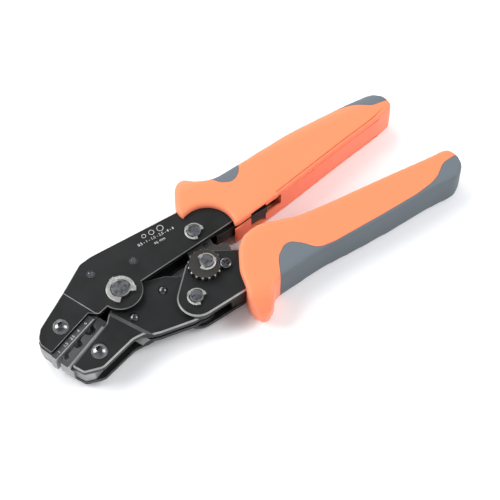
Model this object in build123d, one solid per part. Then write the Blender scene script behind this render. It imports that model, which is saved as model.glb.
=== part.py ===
"""Ratcheting crimping pliers with a pair of interchangeable dies.

The tool is laid out about its main pivot.  +X runs from the jaws to the grips, +Y from the
moving jaw to the fixed one, and Z is the direction of every pin, with z = 0 in the middle of
the stack of plates.  The finished parts are moved so that the origin lies under the middle of
the tool, on the surface that the flat backs of the grips rest on.
"""

from build123d import *
import math
import os

# ------------------------------------------------------------------ pivots and fasteners, mm
MAIN_PIVOT = (0, 0)
LINK_ANCHOR = (46.7, 6.6)
JAW_PIN = (27.5, -24.2)
TOGGLE_PIN = (41.4, -12.1)
WHEEL_CENTRE = (40.2, -12.4)
LOCK_SCREW = (48.9, -17.4)
PAWL_PIVOT = (66.0, -22.0)
FIXED_DIE_SCREW = (-33.9, -0.3)
MOVING_DIE_SCREW = (-25.9, -21.5)
FRAME_RIVETS = [(-7.3, 15.5), (13.6, 9.9)]
JAW_RIVETS = [(17.1, -10.2), (-2.2, -14.7)]
TANG_RIVETS = [(82, 11), (108, 13)]
LEVER_RIVETS = [(96, -26.5), (114, -30)]
LINK_RIVETS = [(44.6, -3.6), (48.0, -1.4)]

# ------------------------------------------------------------------ the stack of plates, mm
PLATE = 3.0
OUTER = 4.0
RUNNING = 0.05
SIDE_GAP = 0.1
JAW_INNER = OUTER - SIDE_GAP - PLATE
THIN_BREAK = 0.35
WIDE_BREAK = 0.7
CLIP_BREAK = 0.25
JAW_STEP = 0.25
LINK_INNER = 1.6
SECTOR_HALF = 1.5
PAWL_HALF = 1.3

MAIN_R = 4.6
PIN_R = 3.3
HUB_R = 5.2
RIVET_R = 1.6

# ------------------------------------------------------------------ jaws and dies, mm and degrees
FRAME_NOSE_R = 10.7
JAW_NOSE_R = 10.2
JAW_TAIL_R = 9.3
LEVER_NOSE = (27.7, -24.7)
LEVER_NOSE_R = 9.9
DIE_LINE_ANGLE = 197.5
CLOSING_ANGLE = 2.56
DIE_FACE = -0.7
DIE_GAP = 0.12
DIE_THROAT = 16.8
DIE_TIP = 46.8
DIE_DEPTH = 13.0
SLOT_EDGE = -4.4
LEDGE_RISE = 1.1
LEDGE_PLACE = 4.3
LEDGE_WIDTH = 1.6
DIE_SCREW_R = 2.4
NESTS = [(24.5, 3.0, 3.3), (33.6, 2.3, 2.7), (42.0, 1.6, 1.9)]
JOGGLE_TOP = (-10.9, -10.3)
JOGGLE_FOOT = (-3.4, -26.1)

# ------------------------------------------------------------------ toggle and ratchet, mm and degrees
EYE_SHIFT = (-0.25, -0.9)
EYE_R = 4.65
EYE_WALL_R = 7.2
TOOTH_TIP_R = 14.6
TOOTH_ROOT_R = 13.2
TOOTH_PITCH = 5.0
SECTOR_START = -68.0
SECTOR_TEETH = 12
WHEEL_R = 8.4
WHEEL_TEETH = 16
WHEEL_THICK = 2.4

# ------------------------------------------------------------------ grips, mm
GRIP_HALF = 10.0
GRIP_ROUND = 1.8
SCOOP_CENTRE = (51.6, 2.6)
SCOOP_R = 14.2
NOTCH_LOW = -6.0
NOTCH_HIGH = 8.6
RECESS_LOW = -1.2

# From the main pivot to the point under the middle of the tool.
ORIGIN = (66.03, -7.61, -GRIP_HALF)

# ------------------------------------------------------------------ outlines: x, y, corner radius
FRAME_OUTLINE = [
    (122, 19.0, 2), (45.4, 20.9, 0), (-2.2, 23.8, 3), (-8.9, 23.1, 5), (-23.9, 14.2, 0),
    (-42.6, 4.0, 3), (-45.8, 0.1, 3), (-46.6, -3.2, 3), (-44.6, -9.45, 0.8), (-19.4, -1.55, 0.6),
    (-15.6, -5.0, 1.2), (-9.0, -3.6, 0), (0, -8, 0), (9, -1.6, 0), (64, 0.8, 0), (122, 7.0, 2),
]
JAW_OUTLINE = [
    (-40.6, -21.0, 1.2), (-37.8, -27.1, 2.5), (-29.0, -30.2, 6),
    (-9.5, -25.6, 9), (-3.5, -26.2, 6), (4.0, -28.9, 8), (20.9, -32.8, 4), (27.5, -32.9, 0),
    (33.0, -24.2, 0), (32.0, -17.0, 1.5), (30.6, -12.2, 1.5), (29.4, -9.3, 1.5), (22.0, -4.0, 5),
    (8.0, 0.5, 0), (-9.0, -4.6, 0), (-12.2, -8.0, 2), (-15.5, -11.4, 0.8),
]
LEVER_OUTLINE = [
    (21.0, -17.4, 0), (33.0, -6.4, 3), (36.0, -5.6, 3), (46.5, -5.8, 3), (58.8, -13.7, 3),
    (70, -14.5, 8), (124, -25.0, 2), (124, -36.0, 2), (60, -35.2, 5), (49.8, -34.5, 0),
    (27.7, -34.6, 0),
]
TANG_OUTLINE = [
    (55.2, -0.8, 0.3), (55.2, 16, 2), (120, 17, 2), (120, 8.5, 2), (85.5, 3.4, 0), (85.5, -0.8, 0.3),
]
SPACER_OUTLINE = [(-17.2, 7.5, 1), (-15.4, 16.6, 2), (-7.4, 21.6, 2), (21, 20.2, 1), (21, 5.0, 1)]
LEVER_SPACER_OUTLINE = [
    (41, -34.0, 0.5), (41, -30.6, 0.5), (86, -33.0, 2), (88, -18.8, 1), (122, -25.4, 1),
    (122, -35.6, 1), (60, -34.8, 0),
]
FIXED_GRIP_OUTLINE = [
    (46.0, 15.6, 1.6), (45.4, 20.5, 7), (52.0, 32.4, 12), (59.0, 37.2, 2.3), (62.0, 30.6, 7),
    (70.5, 25.3, 14), (88.0, 25.7, 60), (120.0, 27.2, 120), (152.0, 25.1, 50), (166.5, 22.8, 6),
    (171.0, 16.8, 5), (171.2, 9.6, 2.5), (160.0, 7.4, 20), (136.0, 4.9, 60), (96.0, -0.2, 60),
    (64.9, -3.0, 2.2),
]
MOVING_GRIP_OUTLINE = [
    (58.6, -14.2, 6), (64.2, -9.6, 5), (74.0, -8.2, 14), (93.0, -15.8, 30), (110.0, -18.4, 60),
    (145.0, -22.8, 90), (166.0, -25.6, 30), (177.4, -26.8, 4), (179.4, -33.0, 8),
    (177.6, -39.4, 5), (171.0, -43.2, 5), (156.0, -41.8, 60), (131.6, -41.4, 90),
    (112.5, -40.4, 60), (94.0, -38.9, 40), (74.5, -39.2, 30), (62.4, -39.9, 5),
    (56.4, -47.2, 8), (50.7, -50.6, 2.1), (47.7, -48.4, 2.3), (47.4, -39.6, 10),
    (49.8, -33.0, 12), (52.0, -24.8, 14),
]
FIXED_PAD_LINE = [
    (62.0, 42, 0), (68.6, 27.0, 3), (72.6, 20.8, 5), (78.0, 17.8, 5), (83.0, 20.6, 6),
    (88.4, 28.0, 5), (96.0, 34.0, 3), (132.0, 34.0, 3), (142.0, 26.0, 10), (154.0, 21.6, 14),
    (162.0, 15.0, 7), (176, 12.4, 0), (176, 42, 0),
]
FIXED_PAD_BAND = [(82, 24.9, 0), (148, 24.9, 0), (148, 42, 0), (82, 42, 0)]
PAD_BAND_HALF = 7.0
MOVING_PAD_LINE = [
    (58.0, -56, 0), (63.0, -44.3, 6), (71.4, -29.6, 8), (79.4, -24.6, 5), (85.4, -30.0, 7),
    (90.2, -36.6, 7), (99.0, -38.2, 16), (128.0, -39.4, 60), (148.0, -39.8, 40),
    (161.0, -38.6, 16), (170.0, -32.8, 7), (184, -32.4, 0), (184, -56, 0),
]


# ------------------------------------------------------------------ shapes used by several parts
def face_of(corners):
    """A flat face whose corners are rounded as listed."""
    points = [(x, y) for x, y, radius in corners]
    return make_face(FilletPolyline(*points, radius=[radius for x, y, radius in corners], close=True))


def disc(centre, radius, low, high):
    """A round slab between two heights."""
    return Pos(centre[0], centre[1], low) * extrude(Circle(radius), high - low)


def slab(face, low, high):
    """A flat outline raised between two heights."""
    return Pos(0, 0, low) * extrude(face, high - low)


def drilled(body, holes):
    """Cut round holes, each given as centre and radius, right through a body."""
    for centre, radius in holes:
        body -= disc(centre, radius, -30, 30)
    return body


def broken_edge(body, height, width):
    """Take the sharpness off the edges at one height."""
    return chamfer(body.edges().filter_by_position(Axis.Z, height - 0.01, height + 0.01), width)


def mirrored(body):
    """The same part on the other side of the middle plane."""
    return mirror(body, Plane.XY)


def along_die_line(shape):
    """Turn a shape that is drawn along X into the direction of the die line."""
    return Rot(0, 0, DIE_LINE_ANGLE) * shape


def grouped(shapes):
    """Separate solids kept together as one part."""
    group = shapes[0]
    for shape in shapes[1:]:
        group += shape
    return group


def headed_pin(centre, radius, top, clip_low, clip_high):
    """A pin with a low head at the back and a groove for its clip at the front."""
    head_low = -OUTER - PLATE - 1.6
    pin = disc(centre, radius, -OUTER - PLATE, top)
    pin = broken_edge(pin, top, 0.45)
    head = broken_edge(disc(centre, radius + 1.9, head_low, -OUTER - PLATE), head_low, 0.6)
    groove = disc(centre, radius + 1, clip_low, clip_high) - disc(centre, radius * 0.8, clip_low, clip_high)
    return pin + head - groove


def e_clip(centre, pin_radius, outer_radius, opening, low, high):
    """A retaining ring with three prongs that reach into a pin's groove."""
    ring = broken_edge(disc((0, 0), outer_radius, low, high), high, CLIP_BREAK)
    ring -= disc((0, 0), pin_radius + 0.45, low, high)
    mouth = make_face(Polyline((0, 0), (30, 26), (30, -26), close=True))
    ring -= slab(mouth, low, high)
    prong = Pos((pin_radius + outer_radius) / 2, 0, low) * extrude(
        Rectangle(outer_radius - pin_radius * 0.8 - 0.4, pin_radius * 0.6), high - low)
    hollow = disc((0, 0), pin_radius * 0.8, low, high)
    for angle in (52, 180, 308):
        ring += Rot(0, 0, angle) * prong - hollow
    return Pos(centre[0], centre[1], 0) * Rot(0, 0, opening) * ring


def dome(radius, rise, base):
    """The cap of a ball, of this radius where it meets its flat base."""
    ball_radius = (radius ** 2 + rise ** 2) / (2 * rise)
    return disc((0, 0), radius, base, base + rise) & Pos(0, 0, base + rise - ball_radius) * Sphere(ball_radius)


def button_screw(centre, top, foot, head_radius, socket_radius):
    """A domed screw with a hexagon socket, its shank reaching down to a nut."""
    rise = 2.5
    head = dome(head_radius, rise, top)
    socket = Pos(0, 0, top + 0.8) * extrude(RegularPolygon(socket_radius, 6), rise)
    shank = disc((0, 0), DIE_SCREW_R, foot, top)
    return Pos(centre[0], centre[1], 0) * (head - socket + shank)


def hex_nut(centre, low, high):
    """A hexagon nut with its corners turned off, round a die screw."""
    blank = Pos(0, 0, low) * extrude(RegularPolygon(4.5, 6), high - low)
    blank = blank & chamfer(disc((0, 0), 4.45, low, high).edges(), 0.5)
    return Pos(centre[0], centre[1], 0) * (blank - disc((0, 0), DIE_SCREW_R, low, high))


# ------------------------------------------------------------------ frame side
def frame_plate():
    """The front frame plate, with its shallow step across the jaw."""
    plate = slab(face_of(FRAME_OUTLINE), OUTER, OUTER + PLATE)
    plate += disc(MAIN_PIVOT, FRAME_NOSE_R, OUTER, OUTER + PLATE)
    plate = broken_edge(plate, OUTER + PLATE, THIN_BREAK)
    step = make_face(Polyline((-23.9, 14.4), (-16.6, -4.4), (-60, -20), (-60, 30), close=True))
    plate -= Pos(0, 0, OUTER + PLATE - JAW_STEP) * extrude(step, 1, taper=-45)
    holes = [(MAIN_PIVOT, MAIN_R), (LINK_ANCHOR, PIN_R), (FIXED_DIE_SCREW, DIE_SCREW_R)]
    holes += [(spot, RIVET_R) for spot in FRAME_RIVETS + TANG_RIVETS]
    return drilled(plate, holes)


def frame_spacer():
    """The block between the frame plates, above the moving jaw's nose."""
    block = slab(face_of(SPACER_OUTLINE), -OUTER, OUTER)
    return drilled(block, [(MAIN_PIVOT, JAW_NOSE_R + 0.8)] + [(spot, RIVET_R) for spot in FRAME_RIVETS])


def frame_tang():
    """The steel bar between the frame plates that runs back into the grip."""
    return drilled(slab(face_of(TANG_OUTLINE), -OUTER, OUTER), [(spot, RIVET_R) for spot in TANG_RIVETS])


def countersunk_rivets(spots, height):
    """Flat rivets with a small cone in each end."""
    cap = broken_edge(disc((0, 0), 2.15, height, height + 0.35), height + 0.35, 0.2)
    cap -= Pos(0, 0, height - 0.15) * Cone(0.1, 1.3, 1.1)
    rivet = disc((0, 0), RIVET_R, -height, height) - Pos(0, 0, height - 0.15) * Cone(0.1, 1.3, 1.1)
    rivet += cap + mirrored(cap)
    return grouped([Pos(x, y, 0) * rivet for x, y in spots])


def plain_rivets(spots, half_length):
    """Flush rivets in holes of their own size."""
    return grouped([disc(spot, RIVET_R, -half_length, half_length) for spot in spots])


def fixed_die():
    """The die in the frame, with a raised size strip and one indenter for each nest."""
    block = Pos((DIE_THROAT + DIE_TIP) / 2, DIE_FACE - DIE_DEPTH / 2, -OUTER) * extrude(
        Rectangle(DIE_TIP - DIE_THROAT, DIE_DEPTH), 2 * OUTER)
    strip_depth = DIE_FACE - SLOT_EDGE - 0.2
    strip = Pos((DIE_THROAT + 2.4 + DIE_TIP) / 2, DIE_FACE - strip_depth / 2, 0) * extrude(
        Rectangle(DIE_TIP - DIE_THROAT - 2.4, strip_depth), OUTER + LEDGE_RISE, both=True)
    strip = chamfer(strip.edges().group_by(Axis.Z)[-1] + strip.edges().group_by(Axis.Z)[0], 0.3)
    block += strip
    for place, half_width, depth in NESTS:
        indenter = Pos(place, DIE_FACE, 0) * extrude(
            Ellipse(half_width * 0.42, depth * 0.36), OUTER - 0.9, both=True)
        block += indenter
    block = along_die_line(block)
    outline = slab(offset(face_of(FRAME_OUTLINE), 0.5) + face_of(FRAME_OUTLINE), -20, 20)
    nose = along_die_line(Pos(31, 4, 0) * Box(60, 16, 40))
    return drilled(block & (outline + nose), [(FIXED_DIE_SCREW, DIE_SCREW_R)])


# ------------------------------------------------------------------ moving jaw
def jaw_plate():
    """The front jaw plate, low at the main pivot and stepped outwards beside its die."""
    run = Vector(JOGGLE_FOOT[0] - JOGGLE_TOP[0], JOGGLE_FOOT[1] - JOGGLE_TOP[1], 0).normalized()
    towards_tip = Vector(run.Y, -run.X, 0)
    ramp = PLATE
    lag = PLATE * (math.sqrt(2) - 1)
    inner, outer = JAW_INNER, OUTER - SIDE_GAP
    profile = make_face(Polyline(
        (-70, inner), (-ramp / 2, inner), (ramp / 2, outer), (60, outer), (60, outer + PLATE),
        (ramp / 2 - lag, outer + PLATE), (-ramp / 2 - lag, inner + PLATE), (-70, inner + PLATE), close=True))
    across = Plane(origin=(JOGGLE_TOP[0], JOGGLE_TOP[1], 0), x_dir=towards_tip, z_dir=-run)
    section = extrude(across * profile, 60, both=True)
    low_end = extrude(across * Pos(-ramp / 2 - lag - 50, 0) * Rectangle(100, 40), 60, both=True)
    plan = face_of(JAW_OUTLINE) + Circle(JAW_NOSE_R) + Pos(JAW_PIN[0], JAW_PIN[1]) * Circle(JAW_TAIL_R)
    tall = broken_edge(slab(plan, -1, outer + PLATE), outer + PLATE, WIDE_BREAK)
    short = broken_edge(slab(plan, -1, inner + PLATE), inner + PLATE, WIDE_BREAK)
    plate = (section & tall) - low_end + (section & short & low_end)
    holes = [(MAIN_PIVOT, MAIN_R + RUNNING), (JAW_PIN, PIN_R + RUNNING), (MOVING_DIE_SCREW, DIE_SCREW_R)]
    holes += [(spot, RIVET_R) for spot in JAW_RIVETS]
    return drilled(plate, holes)


def jaw_shim():
    """The thin plate between the two jaw plates."""
    shim = slab(face_of([(-9.0, -22.5, 2), (-6, 3, 2), (8, 2, 2), (25, -9, 2), (27, -30, 2), (4, -26, 4)]),
                -JAW_INNER, JAW_INNER)
    return drilled(shim, [(MAIN_PIVOT, MAIN_R + RUNNING), (JAW_PIN, PIN_R + RUNNING)]
                   + [(spot, RIVET_R) for spot in JAW_RIVETS])


def domed_rivets(spots, height):
    """Round-headed rivets through the two jaw plates and their shim."""
    head = dome(2.4, 1.5, height)
    rivet = disc((0, 0), RIVET_R, -height, height) + head + mirrored(head)
    return grouped([Pos(x, y, 0) * rivet for x, y in spots])


def moving_die():
    """The die in the moving jaw: three rounded nests, graded from the throat to the tip."""
    half = OUTER - SIDE_GAP
    face = DIE_FACE + DIE_GAP
    block = Pos((DIE_THROAT + DIE_TIP - 0.6) / 2, face + 8, -half) * extrude(
        Rectangle(DIE_TIP - 0.6 - DIE_THROAT, 16), 2 * half)
    for place, half_width, depth in NESTS:
        well = Circle(half_width) + Pos(0, -4) * Rectangle(2 * half_width, 8)
        block -= Pos(place, face + depth - half_width, -20) * extrude(well, 40)
    ledge_length = DIE_TIP - DIE_THROAT - 3.6
    ledge = Pos(DIE_THROAT + 3 + ledge_length / 2, face + LEDGE_PLACE + LEDGE_WIDTH / 2, 0) * extrude(
        Rectangle(ledge_length, LEDGE_WIDTH), half + LEDGE_RISE, both=True)
    block += chamfer(ledge.edges().group_by(Axis.Z)[-1] + ledge.edges().group_by(Axis.Z)[0], 0.3)
    block = Rot(0, 0, CLOSING_ANGLE) * along_die_line(block)
    reach = slab(offset(face_of(JAW_OUTLINE), -0.4), -20, 20)
    nose = Rot(0, 0, CLOSING_ANGLE) * along_die_line(Pos(31, 1.2, 0) * Box(60, 12, 40))
    return drilled(block & (reach + nose), [(MOVING_DIE_SCREW, DIE_SCREW_R)])


# ------------------------------------------------------------------ hand lever
def lever_plate(pivot_radius):
    """The front lever plate; the star wheel's hub turns in its large hole."""
    plate = slab(face_of(LEVER_OUTLINE), OUTER, OUTER + PLATE)
    plate += disc(LEVER_NOSE, LEVER_NOSE_R, OUTER, OUTER + PLATE)
    plate = broken_edge(plate, OUTER + PLATE, WIDE_BREAK)
    holes = [(JAW_PIN, PIN_R), (WHEEL_CENTRE, HUB_R), (LOCK_SCREW, pivot_radius), (PAWL_PIVOT, 1.8)]
    holes += [(spot, RIVET_R) for spot in LEVER_RIVETS]
    return drilled(plate, holes)


def lever_spacer():
    """The channel piece between the lever plates, with a rib along their lower edge."""
    spacer = slab(face_of(LEVER_SPACER_OUTLINE), -OUTER, OUTER)
    return drilled(spacer, [(spot, RIVET_R) for spot in LEVER_RIVETS])


def star_wheel():
    """The toothed adjuster wheel with its hub; the toggle pin sits off-centre in the hub."""
    low = OUTER + PLATE + 0.2
    wheel = broken_edge(disc((0, 0), WHEEL_R, low, low + WHEEL_THICK), low + WHEEL_THICK, 0.5)
    notch_spacing = 360 / WHEEL_TEETH
    lock_angle = math.degrees(math.atan2(LOCK_SCREW[1] - WHEEL_CENTRE[1], LOCK_SCREW[0] - WHEEL_CENTRE[0]))
    for number in range(WHEEL_TEETH):
        notch_radius = 3.1 if number == 0 else 1.5
        notch_place = math.dist(WHEEL_CENTRE, LOCK_SCREW) if number == 0 else WHEEL_R + 0.6
        notch = disc((notch_place, 0), notch_radius, low, low + WHEEL_THICK)
        wheel -= Rot(0, 0, lock_angle + number * notch_spacing) * notch
    wheel = Pos(WHEEL_CENTRE[0], WHEEL_CENTRE[1], 0) * wheel + disc(WHEEL_CENTRE, HUB_R, OUTER + 0.1, low)
    return drilled(wheel, [(TOGGLE_PIN, PIN_R)])


def rear_bush():
    """The eccentric bush that carries the toggle pin in the back lever plate."""
    bush = disc(WHEEL_CENTRE, HUB_R, -OUTER - PLATE, -OUTER - 0.1)
    return drilled(bush, [(TOGGLE_PIN, PIN_R)])


def lock_screw():
    """The small cross-head screw that sits in one notch of the star wheel."""
    base = OUTER + PLATE
    head = disc((0, 0), 2.9, base, base + 2.3)
    head = fillet(head.edges().filter_by_position(Axis.Z, base + 2.29, base + 2.31), 0.8)
    for angle in (25, 115):
        head -= Rot(0, 0, angle) * (Pos(0, 0, base + 2.1) * Box(3.4, 0.75, 2.2))
    return Pos(LOCK_SCREW[0], LOCK_SCREW[1], 0) * (head + disc((0, 0), 1.5, OUTER, base))


# ------------------------------------------------------------------ toggle link and pawl
def eye_centre():
    """The middle of the link's enlarged lower eye."""
    return (TOGGLE_PIN[0] + EYE_SHIFT[0], TOGGLE_PIN[1] + EYE_SHIFT[1])


def link_web():
    """The flat outline that the link plates and the ratchet sector share."""
    web = face_of([
        (41.0, 15.0, 1.5), (43.6, 17.4, 2), (46.4, 15.6, 1.5), (52.4, 5.0, 3), (51.4, -4.0, 3),
        (58.3, -6.5, 1.2), (56.0, -13.2, 2), (41.1, -13.0, 0), (34.8, -10.0, 0), (38.6, 0, 6), (40.6, 8.0, 4)])
    web += Pos(LINK_ANCHOR[0], LINK_ANCHOR[1]) * Circle(6.2)
    eye = eye_centre()
    return web + Pos(eye[0], eye[1]) * Circle(EYE_WALL_R)


def link_holes():
    """Everything that is drilled through the link's three layers."""
    return ([(LINK_ANCHOR, PIN_R + RUNNING), (eye_centre(), EYE_R), (LINK_POST, POST_R)]
            + [(spot, RIVET_R) for spot in LINK_RIVETS])


def link_plate():
    """The front plate of the toggle link."""
    top = OUTER - SIDE_GAP
    return drilled(broken_edge(slab(link_web(), LINK_INNER, top), top, THIN_BREAK), link_holes())


def ratchet_sector():
    """The toothed sector in the middle of the link, centred on the toggle pin."""
    sweep_angle = SECTOR_TEETH * TOOTH_PITCH
    start = math.radians(SECTOR_START)
    end = math.radians(SECTOR_START + sweep_angle)
    middle = (start + end) / 2

    def polar(radius, angle):
        return (TOGGLE_PIN[0] + radius * math.cos(angle), TOGGLE_PIN[1] + radius * math.sin(angle))

    blank = make_face(Polyline(TOGGLE_PIN, polar(TOOTH_TIP_R, start)) + ThreePointArc(
        polar(TOOTH_TIP_R, start), polar(TOOTH_TIP_R, middle), polar(TOOTH_TIP_R, end))
        + Polyline(polar(TOOTH_TIP_R, end), TOGGLE_PIN))
    sector = slab(link_web() + blank, -SECTOR_HALF, SECTOR_HALF)
    for number in range(SECTOR_TEETH):
        left = math.radians(SECTOR_START + number * TOOTH_PITCH)
        right = left + math.radians(TOOTH_PITCH)
        gap = make_face(Polyline(
            polar(TOOTH_TIP_R + 0.4, left), polar(TOOTH_ROOT_R, (left + right) / 2),
            polar(TOOTH_TIP_R + 0.4, right), close=True))
        sector -= slab(gap, -SECTOR_HALF, SECTOR_HALF)
    sector -= disc(LINK_POST, 2.4, -SECTOR_HALF, SECTOR_HALF)
    sector -= Pos(LINK_POST[0] - 4, LINK_POST[1], 0) * Box(8, 3.2, 2 * SECTOR_HALF)
    return drilled(sector, link_holes())


def pawl():
    """The ratchet pawl: a nose towards the sector and a tail for its spring."""
    body = face_of([
        (56.5, -19.6, 0.5), (62.5, -19.0, 2), (66.5, -18.8, 2), (74.0, -22.4, 1.4), (74.6, -25.2, 1.4),
        (66.4, -25.4, 2), (62.0, -23.6, 2)])
    return drilled(slab(body, -PAWL_HALF, PAWL_HALF), [(PAWL_PIVOT, 1.8 + RUNNING), (PAWL_TAIL, 0.7)])


# ------------------------------------------------------------------ springs and their posts
FRAME_POST = (25.5, 14.6)
LINK_POST = (43.6, 14.4)
LEVER_POST = (84.0, -26.6)
PAWL_TAIL = (72.4, -23.8)
PAWL_SPRING_START = (73.8, -24.1)
POST_R = 1.0


def coil_spring(start, end, coil_radius, wire):
    """The room that an extension spring takes up, with its two straight ends."""
    length = math.dist(start, end)
    angle = math.degrees(math.atan2(end[1] - start[1], end[0] - start[0]))
    coil = Pos(length / 2, 0, 0) * Rot(0, 90, 0) * (
        Cylinder(coil_radius, length * 0.62) - Cylinder(coil_radius - 2 * wire, length * 0.62))
    coil += Pos(length / 2, 0, 0) * Rot(0, 90, 0) * Cylinder(wire * 0.8, length - 2 * POST_R - 0.6)
    web = Pos(length / 2, 0, 0) * Box(length * 0.62, wire, 2 * (coil_radius - wire))
    return Pos(start[0], start[1], 0) * Rot(0, 0, angle) * (coil + web)


def post(spot, half_length):
    """A short cross pin that a spring hooks on."""
    return disc(spot, POST_R, -half_length, half_length)


# ------------------------------------------------------------------ grips
def grip_blank(outline):
    """A moulded grip before its channel is cut, with its edges rounded."""
    body = slab(face_of(outline), -GRIP_HALF, GRIP_HALF)
    rims = body.edges().group_by(Axis.Z)[0] + body.edges().group_by(Axis.Z)[-1]
    return fillet(rims, GRIP_ROUND)


def fixed_grip():
    """The fixed grip, hollowed for the frame plates and open along the tang."""
    body = grip_blank(FIXED_GRIP_OUTLINE)
    body -= disc(SCOOP_CENTRE, SCOOP_R, -GRIP_HALF - 1, GRIP_HALF + 1)
    body -= slab(face_of(FRAME_OUTLINE), -OUTER - PLATE, OUTER + PLATE)
    body -= slab(face_of(TANG_OUTLINE), -OUTER, OUTER)
    plate_slot = face_of([(60, -12, 0), (60, 1.5, 0), (94, 4.6, 1), (94, -12, 0)])
    notch = face_of([(74.8, -12, 0), (74.8, 3.2, 0), (84.3, 3.2, 0), (84.3, -12, 0)])
    recess = face_of([(84, -12, 0), (84, 0.3, 0), (94, 1.2, 1), (94, -12, 0)])
    hollow = face_of([(62, -2.4, 0), (62, 1.5, 0), (94, 4.0, 0.5), (94, 0.5, 0.5)])
    body -= slab(plate_slot, OUTER, OUTER + PLATE)
    body -= slab(hollow, -OUTER, OUTER)
    body -= slab(notch, NOTCH_LOW, NOTCH_HIGH)
    return body - slab(recess, RECESS_LOW, OUTER)


def moving_grip():
    """The moving grip, hollowed for the lever plates and the pawl between them."""
    body = grip_blank(MOVING_GRIP_OUTLINE)
    body -= slab(face_of(LEVER_OUTLINE), -OUTER - PLATE, OUTER + PLATE)
    return body - disc(JAW_PIN, 24, -OUTER - PLATE, OUTER + PLATE)


def pad_zone(line, band):
    """The part of a grip that the soft inlay takes up, with any band that links its two ends."""
    zone = slab(face_of(line), -GRIP_HALF - 1, GRIP_HALF + 1)
    if band:
        zone += slab(face_of(band), -PAD_BAND_HALF, PAD_BAND_HALF)
    return zone


# ------------------------------------------------------------------ put the tool together
def build_parts():
    """Every piece of the tool by name, laid out about the main pivot."""
    parts = {}
    face = OUTER + PLATE
    clip = 0.9

    parts["frame_plate_front"] = frame_plate()
    parts["frame_plate_back"] = mirrored(parts["frame_plate_front"])
    parts["frame_spacer"] = frame_spacer()
    parts["frame_tang"] = frame_tang()
    parts["frame_rivets"] = countersunk_rivets(FRAME_RIVETS, face)
    parts["tang_rivets"] = plain_rivets(TANG_RIVETS, face)
    parts["fixed_die"] = fixed_die()
    parts["fixed_die_screw"] = button_screw(FIXED_DIE_SCREW, face - JAW_STEP, -face - 2.3, 4.35, 1.5)
    parts["fixed_die_nut"] = hex_nut(FIXED_DIE_SCREW, -face - 2.5, -face + JAW_STEP)
    parts["main_pivot_pin"] = headed_pin(MAIN_PIVOT, MAIN_R, face + 1.9, face + 0.2, face + 1.2)
    parts["main_pivot_clip"] = e_clip(MAIN_PIVOT, MAIN_R, 7.15, -84, face + 0.2, face + 1.2)
    parts["link_anchor_pin"] = headed_pin(LINK_ANCHOR, PIN_R, face + 1.8, face + 0.2, face + 0.2 + clip)
    parts["link_anchor_clip"] = e_clip(LINK_ANCHOR, PIN_R, 4.65, -60, face + 0.2, face + 0.2 + clip)
    parts["frame_spring_post"] = post(FRAME_POST, OUTER)

    parts["jaw_plate_front"] = jaw_plate()
    parts["jaw_plate_back"] = mirrored(parts["jaw_plate_front"])
    parts["jaw_shim"] = jaw_shim()
    parts["jaw_rivets"] = domed_rivets(JAW_RIVETS, OUTER - SIDE_GAP)
    parts["moving_die"] = moving_die()
    parts["moving_die_screw"] = button_screw(MOVING_DIE_SCREW, face - SIDE_GAP, -face - 2.2, 4.35, 1.5)
    parts["moving_die_nut"] = hex_nut(MOVING_DIE_SCREW, -face - 2.4, -face + SIDE_GAP)

    parts["lever_plate_front"] = lever_plate(1.5)
    parts["lever_plate_back"] = mirrored(parts["lever_plate_front"])
    parts["lever_spacer"] = lever_spacer()
    parts["lever_rivets"] = plain_rivets(LEVER_RIVETS, face)
    parts["jaw_pin"] = headed_pin(JAW_PIN, PIN_R, face + 1.8, face + 0.2, face + 0.2 + clip)
    parts["jaw_pin_clip"] = e_clip(JAW_PIN, PIN_R, 4.65, -60, face + 0.2, face + 0.2 + clip)
    parts["star_wheel"] = star_wheel()
    parts["rear_bush"] = rear_bush()
    wheel_top = face + 0.2 + WHEEL_THICK
    parts["toggle_pin"] = headed_pin(TOGGLE_PIN, PIN_R, wheel_top + 1.5, wheel_top, wheel_top + clip)
    parts["toggle_pin_clip"] = e_clip(TOGGLE_PIN, PIN_R, 4.65, 156, wheel_top, wheel_top + clip)
    parts["lock_screw"] = lock_screw()
    parts["pawl_pin"] = disc(PAWL_PIVOT, 1.8, -face, face)
    parts["lever_spring_post"] = post(LEVER_POST, OUTER)

    parts["link_plate_front"] = link_plate()
    parts["link_plate_back"] = mirrored(parts["link_plate_front"])
    parts["ratchet_sector"] = ratchet_sector()
    parts["link_rivets"] = plain_rivets(LINK_RIVETS, OUTER - SIDE_GAP)
    parts["link_spring_post"] = post(LINK_POST, OUTER - SIDE_GAP)

    parts["pawl"] = pawl()
    parts["pawl_spring"] = coil_spring(PAWL_SPRING_START, LEVER_POST, 1.5, 0.45)
    parts["return_spring"] = coil_spring(FRAME_POST, LINK_POST, 2.6, 0.7)

    for side, blank, zone in (
            ("fixed", fixed_grip(), pad_zone(FIXED_PAD_LINE, FIXED_PAD_BAND)),
            ("moving", moving_grip(), pad_zone(MOVING_PAD_LINE, []))):
        parts[side + "_grip_shell"] = blank - zone
        parts[side + "_grip_inlay"] = blank & zone
    return parts


os.makedirs("parts", exist_ok=True)
for name, shape in build_parts().items():
    export_step(Pos(-ORIGIN[0], -ORIGIN[1], -ORIGIN[2]) * shape, "parts/" + name + ".step")
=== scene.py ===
"""The looks of a pair of ratcheting crimping pliers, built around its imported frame."""

import math

import bmesh
import bpy
from mathutils import Matrix, Vector


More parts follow.
